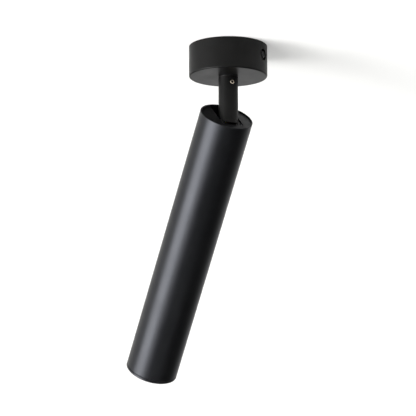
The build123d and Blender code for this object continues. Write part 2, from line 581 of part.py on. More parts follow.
def hinge_bolt():
    pivot_y, pivot_z = HEAD_PIVOT[1], HEAD_PIVOT[2]
    washer_face = EAR_OUTER_X + HINGE_WASHER_THICKNESS
    shank_end = -(washer_face + HINGE_NUT_THICKNESS + 1)
    bolt = rod(HINGE_BOLT_DIAMETER / 2, (shank_end, pivot_y, pivot_z), (washer_face, pivot_y, pivot_z))
    head_top = washer_face + HINGE_BOLT_DIAMETER * 0.7
    head = rod(HINGE_NUT_ACROSS_FLATS / 2, (washer_face, pivot_y, pivot_z), (head_top, pivot_y, pivot_z))
    head = chamfer(head.edges().filter_by(GeomType.CIRCLE).group_by(Axis.X)[-1], 0.4)
    socket = hexagon(HINGE_BOLT_DIAMETER * 0.62, (head_top - 1.8, pivot_y, pivot_z),
                     (head_top + 1, pivot_y, pivot_z))
    return TO_HINGE * (bolt + head - socket)


def hinge_nut():
    pivot_y, pivot_z = HEAD_PIVOT[1], HEAD_PIVOT[2]
    face = -(EAR_OUTER_X + HINGE_WASHER_THICKNESS)
    end = face - HINGE_NUT_THICKNESS
    nut = hexagon(HINGE_NUT_ACROSS_FLATS, (face, pivot_y, pivot_z), (end, pivot_y, pivot_z))
    nut -= rod(HINGE_BOLT_DIAMETER / 2 + THREAD_CLEARANCE, (face + 1, pivot_y, pivot_z),
               (end - 1, pivot_y, pivot_z))
    return TO_HINGE * nut


def hinge_washers():
    pivot_y, pivot_z = HEAD_PIVOT[1], HEAD_PIVOT[2]
    washers = []
    for side in (1, -1):
        near = (side * EAR_OUTER_X, pivot_y, pivot_z)
        far = (side * (EAR_OUTER_X + HINGE_WASHER_THICKNESS), pivot_y, pivot_z)
        bore = rod(HINGE_BOLT_DIAMETER / 2 + 0.15, (-TUBE_R, pivot_y, pivot_z), (TUBE_R, pivot_y, pivot_z))
        washers.append(rod(HINGE_NUT_ACROSS_FLATS / 2 + 0.2, near, far) - bore)
    return TO_HINGE * Compound(children=washers)


def front_ring():
    spigot_r = TUBE_BORE_R - THREAD_CLEARANCE
    seat = TUBE_END - FRONT_SEAM
    bezel = turned([
        (APERTURE_R, FRONT_SPIGOT_TOP), (spigot_r - EDGE_BREAK, FRONT_SPIGOT_TOP),
        (spigot_r, FRONT_SPIGOT_TOP - EDGE_BREAK), (spigot_r, seat), (TUBE_R - 0.3, seat),
        (TUBE_R, seat - 0.3), (TUBE_R, -HEAD_LENGTH + 0.6), (TUBE_R - 0.6, -HEAD_LENGTH), (APERTURE_R + 1.2, -HEAD_LENGTH),
        (APERTURE_R, -HEAD_LENGTH + 1.2)])
    return TO_HEAD * bezel


def anti_glare_baffle():
    outer_r = TUBE_BORE_R - 0.2
    step_height = BAFFLE_LENGTH / BAFFLE_STEPS
    step_out = BAFFLE_CONVERGE / BAFFLE_STEPS
    points = [(outer_r, BAFFLE_TOP)]
    for step in range(BAFFLE_STEPS):
        radius = THROAT_R + step * step_out
        level = BAFFLE_TOP - step * step_height
        points += [(radius, level), (radius, level - step_height * 0.6),
                   (radius + step_out * 2.2, level - step_height * 0.9)]
    points += [(APERTURE_R, FRONT_SPIGOT_TOP), (outer_r, FRONT_SPIGOT_TOP)]
    return TO_HEAD * turned(points)


def lamp_body():
    lamp_r = LAMP_DIAMETER / 2
    base_r = LAMP_BASE_DIAMETER / 2
    lens_r = lamp_r - LAMP_RIM_WIDTH
    rim_back = LAMP_FACE + LAMP_RIM_HEIGHT
    neck = LAMP_SHOULDER - LAMP_BASE_LENGTH
    seat = LAMP_FACE + LENS_THICKNESS
    edge = EDGE_BREAK

    def flank(share_out, share_up):
        return (base_r + (lamp_r - base_r) * share_out, rim_back + (neck - rim_back) * share_up)

    body = turned([
        (0, seat + LENS_AIR_GAP), (lens_r - LENS_AIR_GAP, seat + LENS_AIR_GAP), (lens_r - LENS_AIR_GAP, seat),
        (lens_r + RUNNING_CLEARANCE, seat), (lens_r + RUNNING_CLEARANCE, LAMP_FACE),
        (lamp_r - edge, LAMP_FACE), (lamp_r, LAMP_FACE + edge), (lamp_r, rim_back), flank(0.9, 0.03), flank(0.76, 0.27), flank(0.44, 0.58),
        flank(0.12, 0.85), (base_r, neck), (base_r, LAMP_SHOULDER - edge), (base_r - edge, LAMP_SHOULDER),
        (0, LAMP_SHOULDER)])
    for side in (1, -1):
        y = side * PIN_SPACING / 2
        body -= rod(PIN_DIAMETER / 2 + THREAD_CLEARANCE, (0, y, LAMP_SHOULDER - PIN_ROOT - 0.1),
                    (0, y, LAMP_SHOULDER + 1))
    return TO_HEAD * body


def lamp_lens():
    lens_r = LAMP_DIAMETER / 2 - LAMP_RIM_WIDTH
    return TO_HEAD * rod(lens_r, (0, 0, LAMP_FACE + HOLE_CLEARANCE), (0, 0, LAMP_FACE + LENS_THICKNESS))


def lamp_pins():
    pins = []
    for side in (1, -1):
        y = side * PIN_SPACING / 2
        top = LAMP_SHOULDER + PIN_LENGTH
        pin = rod(PIN_DIAMETER / 2, (0, y, LAMP_SHOULDER - PIN_ROOT), (0, y, top))
        knob = rod(PIN_HEAD_DIAMETER / 2, (0, y, top - 2), (0, y, top))
        pins.append(pin + chamfer(knob.edges().filter_by(GeomType.CIRCLE), 0.4))
    return TO_HEAD * Compound(children=pins)


def lampholder():
    holder = block((-HOLDER_WIDTH / 2, HOLDER_WIDTH / 2), (-HOLDER_DEPTH / 2, HOLDER_DEPTH / 2),
                   (HOLDER_FACE, HOLDER_TOP))
    holder = fillet(holder.edges().filter_by(Axis.Z), 4.0)
    holder = chamfer(holder.edges().group_by(Axis.Z)[0], 0.6)
    for side in (1, -1):
        y = side * PIN_SPACING / 2
        pocket_r = PIN_HEAD_DIAMETER / 2 + 0.4
        holder -= rod(pocket_r, (0, y, HOLDER_FACE - 1), (0, y, HOLDER_FACE + PIN_POCKET_DEPTH))
        wire = (side * HOLDER_LEAD_X, 0)
        holder -= rod(LEAD_R + 0.3, (*wire, HOLDER_TOP - 4), (*wire, HOLDER_TOP + 1))
        x = side * HOLDER_SCREW_X
        holder -= rod(HOLDER_SCREW_DIAMETER / 2 + HOLE_CLEARANCE, (x, 0, HOLDER_FACE - 1),
                      (x, 0, HOLDER_TOP + 1))
        holder -= rod(HOLDER_SCREW_DIAMETER + 0.4, (x, 0, HOLDER_FACE - 1), (x, 0, HOLDER_FACE + 6))
    return TO_HEAD * holder


def holder_contacts():
    contacts = []
    for side in (1, -1):
        y = side * PIN_SPACING / 2
        floor = HOLDER_FACE + PIN_POCKET_DEPTH
        disc = rod(PIN_HEAD_DIAMETER / 2, (0, y, floor - 0.8), (0, y, floor))
        spring = rod(PIN_HEAD_DIAMETER / 2 - 1, (0, y, floor - 1.6), (0, y, floor - 0.8))
        contacts.append(disc + spring)
    return TO_HEAD * Compound(children=contacts)


def holder_screws():
    screws = Compound(children=[
        pan_screw((side * HOLDER_SCREW_X, 0, HOLDER_FACE + 6), (0, 0, 1), HOLDER_SCREW_DIAMETER,
                  HOLDER_HEIGHT - 6 + CARRIER_THICKNESS + 1.5)
        for side in (1, -1)])
    return TO_HEAD * screws


def lamp_carrier():
    outer_r = TUBE_BORE_R - THREAD_CLEARANCE
    carrier = rod(outer_r, (0, 0, HOLDER_TOP), (0, 0, CARRIER_TOP + CARRIER_SKIRT))
    carrier -= rod(outer_r - CARRIER_THICKNESS, (0, 0, CARRIER_TOP), (0, 0, CARRIER_TOP + CARRIER_SKIRT + 1))
    for side in range(4):
        slit = block((outer_r - 3, outer_r + 1), (-1.5, 1.5),
                     (CARRIER_TOP + 1, CARRIER_TOP + CARRIER_SKIRT + 1))
        carrier -= Rot(0, 0, 45 + 90 * side) * slit
    carrier -= rod(4.8, (0, 0, HOLDER_TOP - 1), (0, 0, CARRIER_TOP + 1))
    for side in (1, -1):
        x = side * HOLDER_SCREW_X
        carrier -= rod(HOLDER_SCREW_DIAMETER / 2 + THREAD_CLEARANCE, (x, 0, HOLDER_TOP - 1),
                       (x, 0, CARRIER_TOP + 1))
    return TO_HEAD * carrier


def head_lead(name):
    side = -1 if name == "neutral" else 1
    start_z = -PIVOT_BELOW_RIM - STEM_SWEEP_R - LEAD_DIAMETER
    end_z = HOLDER_TOP - 3.5
    run = (end_z - start_z) / 5
    offsets = [(1.6, -4.5), (2.4, 0.5), (1.5, 3.2), (2.8, 0.6)]
    points = [(HINGE_SIDE + side * 1.6, -5.5, start_z)]
    points += [(HINGE_SIDE * (1 - k / 4) + side * x, y, start_z + run * (k + 0.6))
               for k, (x, y) in enumerate(offsets)]
    points += [(side * HOLDER_LEAD_X, 0, end_z + HOLDER_LEAD_RISE), (side * HOLDER_LEAD_X, 0, end_z)]
    return TO_HEAD * lead(points)


def head_earth_lead():
    barrel_y = WEB_BACK_Y - EARTH_LUG_THICKNESS / 2
    start_z = HEAD_EARTH_Z - HEAD_LUG_STOP - THREAD_CLEARANCE
    low = start_z - HEAD_EARTH_LEAD_DROP
    return TO_HINGE * lead([
        (0, barrel_y, start_z), (0, barrel_y, low), (0.5, -PIVOT_OFFSET - 3, low - 3),
        (0, -PIVOT_OFFSET - 2.4, -PIVOT_BELOW_RIM - STEM_SWEEP_R - LEAD_DIAMETER)])


# ---------------------------------------------------------------- every node by name
NODES = {
    "canopy_cup": canopy_cup,
    "ceiling_strap": ceiling_strap,
    "canopy_screws": canopy_screws,
    "earth_screw": earth_screw,
    "earth_lug": earth_lug,
    "terminal_block": terminal_block,
    "terminal_inserts": terminal_inserts,
    "terminal_screws": terminal_screws,
    "terminal_fixing_screw": terminal_fixing_screw,
    "swivel_spigot": swivel_spigot,
    "lock_washer": lock_washer,
    "lock_nut": lock_nut,
    "swivel_washer": swivel_washer,
    "canopy_lead_neutral": lambda: canopy_lead("neutral"),
    "canopy_lead_earth": lambda: canopy_lead("earth"),
    "canopy_lead_live": lambda: canopy_lead("live"),
    "strap_earth_lead": strap_earth_lead,
    "stem_tube": stem_tube,
    "grub_screw": grub_screw,
    "pivot_bushes": pivot_bushes,
    "stem_lead_neutral": lambda: stem_lead("neutral"),
    "stem_lead_earth": lambda: stem_lead("earth"),
    "stem_lead_live": lambda: stem_lead("live"),
    "lamp_tube": lamp_tube,
    "top_cap": top_cap,
    "hinge_bracket": hinge_bracket,
    "hinge_bolt": hinge_bolt,
    "hinge_nut": hinge_nut,
    "hinge_washers": hinge_washers,
    "head_earth_screw": head_earth_screw,
    "head_earth_lug": head_earth_lug,
    "lamp_carrier": lamp_carrier,
    "lampholder": lampholder,
    "holder_contacts": holder_contacts,
    "holder_screws": holder_screws,
    "lamp_body": lamp_body,
    "lamp_pins": lamp_pins,
    "lamp_lens": lamp_lens,
    "anti_glare_baffle": anti_glare_baffle,
    "front_ring": front_ring,
    "head_lead_neutral": lambda: head_lead("neutral"),
    "head_lead_live": lambda: head_lead("live"),
    "head_earth_lead": head_earth_lead,
}

os.makedirs("parts", exist_ok=True)
for node, build in NODES.items():
    print(node)
    export_step(build(), f"parts/{node}.step")
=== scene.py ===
# %% [markdown]
# # A surface mounted ceiling spotlight
# A black canopy sits against a white ceiling. A short stem hangs from it, and a long tube with a
# lamp in its lower end tilts on a bolt through the stem. The measured model brings every part at
# its real size. This lesson gives those parts their finishes, adds the small forms that a
# measured model leaves plain, and lights the whole as a product photographer would.

import math

import bmesh
import bpy
from mathutils import Matrix, Vector


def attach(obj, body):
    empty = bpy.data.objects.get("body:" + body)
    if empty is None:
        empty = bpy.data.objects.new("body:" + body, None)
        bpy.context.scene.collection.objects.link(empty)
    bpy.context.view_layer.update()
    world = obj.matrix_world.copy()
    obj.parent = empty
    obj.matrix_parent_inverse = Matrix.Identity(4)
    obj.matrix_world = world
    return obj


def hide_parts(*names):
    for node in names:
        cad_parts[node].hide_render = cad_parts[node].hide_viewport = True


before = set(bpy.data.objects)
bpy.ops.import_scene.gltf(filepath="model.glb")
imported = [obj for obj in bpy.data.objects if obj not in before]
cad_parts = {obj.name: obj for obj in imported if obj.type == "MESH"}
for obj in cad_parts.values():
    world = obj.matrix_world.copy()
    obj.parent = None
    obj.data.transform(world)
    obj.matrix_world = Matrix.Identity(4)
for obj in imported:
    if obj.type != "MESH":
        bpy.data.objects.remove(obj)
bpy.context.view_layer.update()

# %% [markdown]
# ## Small helpers
# Three things come back in every step: a colour as a designer writes it, a place along the
# tilted head, and a shader node with its settings. The measured head is drawn along its own
# axis and then tilted, so one matrix takes "millimetres from the tube's upper rim" to the
# place in the room. The stem's axis passes the tube's axis by two millimetres, so what
# belongs to the hinge has a matrix of its own. Sizes on the lamp are written in millimetres,
# distances in the room in metres.

# %% Units, colours and the head's own frame
MM = 0.001
PIVOT_DROP = 82.4
HEAD_TILT = 39
PIVOT_OFFSET = 5.5
PIVOT_DEPTH = 7.2
HINGE_SIDE = 2.0
STRAP_BEARING = -51
WHITE = (1, 1, 1, 1)


def turn(angle, axis="Z"):
    """A turn about one axis, in degrees."""
    return Matrix.Rotation(math.radians(angle), 4, axis)


def shift(x=0.0, y=0.0, z=0.0):
    """A move, in millimetres."""
    return Matrix.Translation((x * MM, y * MM, z * MM))


TO_HINGE = shift(0, 0, -PIVOT_DROP) @ turn(HEAD_TILT, "X") @ shift(0, PIVOT_OFFSET, PIVOT_DEPTH)
TO_HEAD = TO_HINGE @ shift(-HINGE_SIDE)


def linear(code):
    """A colour written as sRGB hex, as the linear numbers a shader wants."""
    parts = [int(code[i:i + 2], 16) / 255 for i in (1, 3, 5)]
    return tuple(part / 12.92 if part <= 0.04045 else ((part + 0.055) / 1.055) ** 2.4
                 for part in parts) + (1.0,)


def add(tree, kind, values=None, links=None, **settings):
    """Adds one shader node, sets its properties and sockets, and links what feeds it."""
    made = tree.nodes.new(kind)
    for name, value in settings.items():
        setattr(made, name, value)
    for socket, value in (values or {}).items():
        made.inputs[socket].default_value = value
    for socket, source in (links or {}).items():
        tree.links.new(source, made.inputs[socket])
    return made


def new_material(name):
    """An empty material with no nodes left, and the tree to build in."""
    material = bpy.data.materials.new(name)
    material.use_nodes = True
    tree = material.node_tree
    tree.nodes.clear()
    return material, tree


print("head axis points to", [round(v, 3) for v in TO_HEAD.to_3x3() @ Vector((0, 0, -1))])

# %% [markdown]
# ## The camera
# The picture was taken from a little below and to the left, with a long lens from over two
# metres away, so that the tube's sides stay almost parallel. The place and the lens were found
# by fitting the outlines of the canopy, stem and tube.

# %% Camera
IMAGE_WIDTH = 416
FOCAL_PIXELS = 2276.3
SENSOR = 36.0
AZIMUTH = math.radians(-24.68)
ELEVATION = math.radians(-11.55)
ROLL = math.radians(-0.12)
DISTANCE = 2.3298
SIDE_SHIFT = -0.02055
UP_SHIFT = -0.16489
FARTHEST = 50

back = Vector((math.sin(AZIMUTH) * math.cos(ELEVATION), -math.cos(AZIMUTH) * math.cos(ELEVATION),
               math.sin(ELEVATION)))
level = Vector((math.cos(AZIMUTH), math.sin(AZIMUTH), 0))
upright = back.cross(level)
right = math.cos(ROLL) * level + math.sin(ROLL) * upright
up = -math.sin(ROLL) * level + math.cos(ROLL) * upright

camera_data = bpy.data.cameras.new("camera")
camera_data.sensor_width = SENSOR
camera_data.lens = SENSOR * FOCAL_PIXELS / IMAGE_WIDTH
camera_data.clip_end = FARTHEST
camera = bpy.data.objects.new("camera", camera_data)
bpy.context.scene.collection.objects.link(camera)
aim = Matrix((right, up, back)).transposed().to_4x4()
camera.matrix_world = Matrix.Translation(back * DISTANCE + right * SIDE_SHIFT + up * UP_SHIFT) @ aim
bpy.context.scene.camera = camera
print("lens", round(camera_data.lens, 1), "mm, camera at", [round(v, 3) for v in camera.location])

# %% [markdown]
# ## Ceiling, room and light
# The spotlight hangs under a plain white ceiling, and that ceiling fills the whole picture. It is
# one sided: seen from above it is clear, so that the inside of the canopy can be studied. Its
# white comes from its own colour for the camera and for reflections, never from more light on
# the lamp, and it keeps the lamp's shadow.
#
# Two large soft lights stand low on the left. They draw the long highlight down the tube and
# throw the canopy's shadow to the right. A weak strip behind and to the right lines the tube's
# far edge, and a soft light from above stands in for the daylight in the room. Neither board
# casts a shadow, so these lights reach the lamp from outside the room. The room itself is dim
# below and bright at eye level, which keeps black paint black.

# %% Ceiling and floor
CEILING_SIZE = 40.0
CEILING_GAP = 0.4 * MM
CEILING_GLOW = 0.25
MIRRORED_SHARE = 0.3
FLOOR_SIZE = 1.5
FLOOR_DROP = 2.4


def one_sided(name, colour, glow):
    """A plain matt board that can be seen from the side its normal points to."""
    material, tree = new_material(name)
    matt = add(tree, "ShaderNodeBsdfDiffuse", {"Color": linear(colour)})
    path = add(tree, "ShaderNodeLightPath")
    mirrored = add(tree, "ShaderNodeMath", {1: MIRRORED_SHARE},
                   {0: path.outputs["Is Glossy Ray"]}, operation="MULTIPLY")
    seen = add(tree, "ShaderNodeMath", operation="MAXIMUM",
               links={0: path.outputs["Is Camera Ray"], 1: mirrored.outputs[0]})
    shown = add(tree, "ShaderNodeMath", operation="MAXIMUM",
                links={0: seen.outputs[0], 1: path.outputs["Is Transmission Ray"]})
    strength = add(tree, "ShaderNodeMath", {1: glow}, {0: shown.outputs[0]}, operation="MULTIPLY")
    light = add(tree, "ShaderNodeEmission", {"Color": WHITE}, {"Strength": strength.outputs[0]})
    both = add(tree, "ShaderNodeAddShader", links={0: matt.outputs[0], 1: light.outputs[0]})
    clear = add(tree, "ShaderNodeBsdfTransparent")
    side = add(tree, "ShaderNodeNewGeometry")
    mixed = add(tree, "ShaderNodeMixShader",
                links={0: side.outputs["Backfacing"], 1: both.outputs[0], 2: clear.outputs[0]})
    add(tree, "ShaderNodeOutputMaterial", links={"Surface": mixed.outputs[0]})
    return material


bpy.ops.object.select_all(action="DESELECT")
bpy.ops.mesh.primitive_plane_add(size=CEILING_SIZE, location=(0, 0, CEILING_GAP),
                                 rotation=(math.pi, 0, 0))
ceiling = bpy.context.object
ceiling.name = "ceiling"
ceiling.data.materials.append(one_sided("matt_white_emulsion_ceiling", "#d8d8d6", CEILING_GLOW))
ceiling.visible_shadow = False

bpy.ops.object.select_all(action="DESELECT")
bpy.ops.mesh.primitive_plane_add(size=FLOOR_SIZE, location=(0, 0, -FLOOR_DROP))
floor = bpy.context.object
floor.name = "floor"
floor.data.materials.append(one_sided("matt_pale_floor", "#e8e8e6", 0.0))
floor.visible_shadow = False
print("ceiling at", ceiling.location.z, "floor at", floor.location.z)

# %% Room light
ROOM_LIGHT = 0.45
BACKDROP_LOW = -32.0
BACKDROP_HIGH = 2.0
BACKDROP_DARK = 0.07
BACKDROP_BRIGHT = 0.9
SOFT_LIGHTS = {
    "key_softbox": ((-0.94, 0.10, -0.35), 4.5, 40),
    "side_softbox": ((-0.82, -0.26, -0.42), 2.4, 44),
    "backdrop_strip": ((0.41, 0.89, -0.25), 0.15, 30),
    "top_fill": ((0.2, -0.3, 0.9), 1.5, 60),
}

world = bpy.data.worlds.new("studio")
bpy.context.scene.world = world
world.use_nodes = True
tree = world.node_tree
tree.nodes.clear()
path = add(tree, "ShaderNodeLightPath")
look = add(tree, "ShaderNodeTexCoord")
across = add(tree, "ShaderNodeSeparateXYZ", links={"Vector": look.outputs["Generated"]})
backdrop = add(tree, "ShaderNodeMapRange",
               {"From Min": math.sin(math.radians(BACKDROP_LOW)),
                "From Max": math.sin(math.radians(BACKDROP_HIGH)),
                "To Min": BACKDROP_DARK, "To Max": BACKDROP_BRIGHT},
               {"Value": across.outputs["Z"]}, interpolation_type="SMOOTHSTEP")
dim = add(tree, "ShaderNodeMix", {"A": ROOM_LIGHT},
          {"Factor": path.outputs["Is Glossy Ray"], "B": backdrop.outputs["Result"]})
seen = add(tree, "ShaderNodeMath", operation="MAXIMUM",
           links={0: path.outputs["Is Camera Ray"], 1: path.outputs["Is Transmission Ray"]})
room = add(tree, "ShaderNodeMix", {"B": 1.0},
           {"Factor": seen.outputs[0], "A": dim.outputs["Result"]})
sky = add(tree, "ShaderNodeBackground", {"Color": WHITE}, {"Strength": room.outputs["Result"]})
add(tree, "ShaderNodeOutputWorld", links={"Surface": sky.outputs[0]})
bpy.context.scene.view_settings.view_transform = "Standard"


def add_sun(name, towards, strength, width):
    """A very large soft light far away: where it stands, how strong, and how wide it looks."""
    data = bpy.data.lights.new(name, "SUN")
    data.energy = strength
    data.angle = math.radians(width)
    lamp = bpy.data.objects.new(name, data)
    bpy.context.scene.collection.objects.link(lamp)
    lamp.rotation_euler = Vector(towards).to_track_quat("Z", "Y").to_euler()


for name, (towards, strength, width) in SOFT_LIGHTS.items():
    add_sun(name, towards, strength, width)
print("lights:", *SOFT_LIGHTS)

# %% [markdown]
# ## How a finish is built
# Every finish here has the same three layers, each at the size it has on the real part. A fine
# grain gives the bumps you can feel. Slow patches change the shine a little, because no process
# is even. A second colour follows those patches. One helper lays them down and hands back its
# nodes, so that a finish with something of its own, such as a thread, can add it afterwards. A
# wave texture of scale 1 has 20 / (2 pi) bands a metre along an axis, and half of that in each
# of the three directions when it runs slantwise. The pitch of a thread or a stripe sets its scale.

# %% A surface with grain and patches
GRAIN_NOISE = {"Detail": 3.0, "Roughness": 0.6}
PATCH_NOISE = {"Detail": 4.0, "Roughness": 0.55}
NOISE_LOW = 0.3
NOISE_HIGH = 0.7
PATCH_SHARE = 0.5
GRAIN_STRENGTH = 0.6
THREAD_STRENGTH = 0.8
BANDS = 20
DIAGONAL_BANDS = 10


def surface(name, colour, second, grain, patch, depth, rough, uneven, stretch=(1, 1, 1),
            **shader_values):
    """A material from two close colours, a grain and patch size in mm, and a bump depth in mm."""
    material, tree = new_material(name)
    place = add(tree, "ShaderNodeTexCoord")
    mapped = add(tree, "ShaderNodeMapping", {"Scale": stretch}, {"Vector": place.outputs["Object"]})
    fine = add(tree, "ShaderNodeTexNoise", {"Scale": 1 / (grain * MM), **GRAIN_NOISE},
               {"Vector": mapped.outputs["Vector"]})
    slow = add(tree, "ShaderNodeTexNoise", {"Scale": 1 / (patch * MM), **PATCH_NOISE},
               {"Vector": place.outputs["Object"]})
    both = add(tree, "ShaderNodeMath", {1: PATCH_SHARE},
               {0: fine.outputs["Fac"], 2: slow.outputs["Fac"]}, operation="MULTIPLY_ADD")
    share = add(tree, "ShaderNodeMapRange", {"From Min": 0.5, "From Max": 1.0},
                {"Value": both.outputs[0]})
    tint = add(tree, "ShaderNodeMix", {"A": linear(colour), "B": linear(second)},
               {"Factor": share.outputs["Result"]}, data_type="RGBA")
    shine = add(tree, "ShaderNodeMapRange",
                {"From Min": NOISE_LOW, "From Max": NOISE_HIGH,
                 "To Min": rough - uneven, "To Max": rough + uneven},
                {"Value": slow.outputs["Fac"]})
    bump = add(tree, "ShaderNodeBump", {"Strength": GRAIN_STRENGTH, "Distance": depth * MM},
               {"Height": fine.outputs["Fac"]})
    shader = add(tree, "ShaderNodeBsdfPrincipled", shader_values,
                 {"Base Color": tint.outputs["Result"], "Roughness": shine.outputs["Result"],
                  "Normal": bump.outputs["Normal"]})
    add(tree, "ShaderNodeOutputMaterial", links={"Surface": shader.outputs[0]})
    return material, {"tree": tree, "place": place, "tint": tint, "bump": bump, "shader": shader}


def threaded(nodes, axis, pitch, depth):
    """Adds the ridges of a cut thread along one axis of a finish, on top of its grain."""
    tree = nodes["tree"]
    ridges = add(tree, "ShaderNodeTexWave", {"Scale": 2 * math.pi / (BANDS * pitch * MM)},
                 {"Vector": nodes["place"].outputs["Object"]},
                 bands_direction=axis, wave_profile="TRI")
    cut = add(tree, "ShaderNodeBump", {"Strength": THREAD_STRENGTH, "Distance": depth * MM},
              {"Height": ridges.outputs["Fac"], "Normal": nodes["bump"].outputs["Normal"]})
    tree.links.new(cut.outputs["Normal"], nodes["shader"].inputs["Normal"])


FINISH = {}
print("surface helper ready")

# %% [markdown]
# ## Matt black powder coat
# The canopy, stem, tube, cap and front ring are sprayed with dry black polyester powder and
# baked. The melted grains leave a skin with a very fine orange peel, a broad soft shine and
# little mirror. Nothing on a new lamp is worn, so only the flow of the skin varies. The grain is
# drawn at 0.9 mm, about twice as coarse as the real one, because a finer one would not show.
# The steel parts and the aluminium parts go through the same booth, and differ only in how
# smooth the metal under the powder was.

# %% Powder coat on steel and on aluminium
COOL_SHEEN = linear("#eff3ff")
FINISH["black_powder_coated_steel"], _ = surface(
    "black_powder_coat_on_steel", "#070707", "#0d0d0d", grain=0.9, patch=22, depth=0.012,
    rough=0.40, uneven=0.03, **{"IOR": 1.5, "Specular IOR Level": 0.14})
FINISH["black_powder_coated_aluminium"], _ = surface(
    "black_powder_coat_on_aluminium", "#060607", "#0b0b0c", grain=0.9, patch=30, depth=0.010,
    rough=0.38, uneven=0.025,
    **{"IOR": 1.5, "Specular IOR Level": 0.3, "Specular Tint": COOL_SHEEN})
print("powder coats:", sorted(FINISH))

# %% [markdown]
# ## Zinc plate
# The ceiling strap, the hinge bracket and the lamp carrier are pressed from cold rolled sheet
# and zinc plated with a clear blue passivate. The rolling leaves faint lines along the sheet, and
# the passivate a cool, slightly cloudy shine. The small turned parts are plated in a barrel and
# come out brighter, with marks round them from the lathe.

# %% Sheet and turned parts
BARREL_ZINC = {"colour": "#c6c9cc", "second": "#a8a698", "grain": 0.35, "patch": 2.5,
               "depth": 0.005, "rough": 0.30, "uneven": 0.06, "Metallic": 1.0}
FINISH["zinc_plated_steel_sheet"], _ = surface(
    "blue_passivated_zinc_on_rolled_sheet", "#b9bec4", "#9aa1a8", grain=0.5, patch=6, depth=0.006,
    rough=0.36, uneven=0.07, stretch=(1, 0.12, 1), Metallic=1.0)
FINISH["zinc_plated_steel"], _ = surface(
    "barrel_plated_zinc_on_turned_steel", stretch=(0.2, 1, 1), **BARREL_ZINC)
spigot_zinc, spigot_nodes = surface("barrel_plated_zinc_with_fine_thread", **BARREL_ZINC)
threaded(spigot_nodes, "Z", pitch=1.0, depth=0.12)
print("zinc finishes made")

# %% [markdown]
# ## Screws: black oxide and nickel
# The two canopy screws and the hinge bolt are steel, blackened in a hot salt bath: a thin dark
# skin that still shines like metal. The bolt's copy of it also has the ridges of its thread. The
# little grub screw in the stem is nickel plated, warm and bright, and is the only light spot on
# the whole lamp. Inside its socket the colour turns dark brown: painted shade in the pit.

# %% Screw finishes
BLACK_OXIDE = {"colour": "#2a2a2c", "second": "#1b1b1d", "grain": 0.3, "patch": 2,
               "depth": 0.006, "rough": 0.36, "uneven": 0.06, "Metallic": 0.85}
# Where the grub screw's socket starts to be painted dark, and where that painted shade is full.
GRUB_FACE = -9.65
SOCKET_SHADE_STARTS = 0.2
SOCKET_SHADE_FULL = 0.8

FINISH["blackened_steel_screws"], _ = surface("hot_blackened_steel", **BLACK_OXIDE)
bolt_black, bolt_nodes = surface("hot_blackened_steel_with_bolt_thread", **BLACK_OXIDE)
threaded(bolt_nodes, "X", pitch=0.7, depth=0.10)
FINISH["nickel_plated_steel"], grub = surface(
    "bright_nickel_on_steel", "#eadfcf", "#d6c8b2", grain=0.2, patch=1.5, depth=0.004,
    rough=0.22, uneven=0.05, Metallic=1.0)
tree = grub["tree"]
# Painted shade: below the grub screw's face its socket's colour turns dark brown, standing in for
# the shade in the pit.
depth_in = add(tree, "ShaderNodeSeparateXYZ", links={"Vector": grub["place"].outputs["Object"]})
socket_shade = add(tree, "ShaderNodeMapRange",
           {"From Min": (GRUB_FACE + SOCKET_SHADE_STARTS) * MM, "From Max": (GRUB_FACE + SOCKET_SHADE_FULL) * MM},
           {"Value": depth_in.outputs["Y"]})
socket = add(tree, "ShaderNodeMix", {"B": linear("#1e1a15")},
             {"Factor": socket_shade.outputs["Result"], "A": grub["tint"].outputs["Result"]},
             data_type="RGBA")
tree.links.new(socket.outputs["Result"], grub["shader"].inputs["Base Color"])
print("screw finishes made")

# %% [markdown]
# ## Brass and tin
# The terminal inserts, the holder's contacts and the lamp's pins are sawn or turned brass, a
# little dull where they were touched. The earth lugs are brass dipped in tin, which is greyer
# and softer in its shine than zinc.

# %% Contact metals
FINISH["brass"], _ = surface(
    "sawn_brass", "#c8a35a", "#a98443", grain=0.25, patch=2, depth=0.006,
    rough=0.30, uneven=0.07, stretch=(1, 0.2, 1), Metallic=1.0)
FINISH["tinned_brass"], _ = surface(
    "hot_tinned_brass", "#c9c8c2", "#aeaca2", grain=0.6, patch=2.2, depth=0.010,
    rough=0.38, uneven=0.06, Metallic=1.0)
print("contact metals made")

# %% [markdown]
# ## Nylon, steatite and moulded plastics
# The terminal block is natural white nylon: waxy, and a little see-through at its edges. The
# bushes and the thin washer are black nylon from a spark-eroded mould, which leaves a fine
# even texture. The lampholder is steatite, a pressed and fired ceramic that is cream coloured,
# dry to the touch and faintly speckled. The lamp's shell is satin white plastic, and the baffle is
# dull black plastic, made to swallow light.

# %% Insulators
FINISH["white_nylon"], _ = surface(
    "natural_white_nylon", "#e6e4da", "#d9d6c8", grain=0.5, patch=5, depth=0.006,
    rough=0.42, uneven=0.05,
    **{"IOR": 1.53, "Subsurface Weight": 0.25, "Subsurface Radius": (1.2, 1.1, 0.9),
       "Subsurface Scale": 1.0 * MM})
FINISH["black_nylon"], _ = surface(
    "black_nylon_from_eroded_mould", "#131314", "#1c1c1d", grain=0.25, patch=4, depth=0.014,
    rough=0.5, uneven=0.05, IOR=1.53)
FINISH["steatite"], _ = surface(
    "fired_steatite", "#e3dccb", "#cfc5af", grain=0.35, patch=3.5, depth=0.020,
    rough=0.68, uneven=0.08, IOR=1.6)
FINISH["lamp_shell_plastic"], _ = surface(
    "satin_white_moulded_plastic", "#e2e1dc", "#d5d4cd", grain=0.3, patch=7, depth=0.006,
    rough=0.38, uneven=0.05, IOR=1.58)
FINISH["black_baffle_plastic"], _ = surface(
    "dull_black_baffle_plastic", "#0c0c0d", "#151516", grain=0.3, patch=6, depth=0.030,
    rough=0.62, uneven=0.05, **{"IOR": 1.5, "Specular IOR Level": 0.3})
print("insulators made")

# %% [markdown]
# ## Lens
# The lamp's front is clear polycarbonate with a lightly frosted inside. It lets the pale
# shell glow through and still catches a reflection on its outer skin.

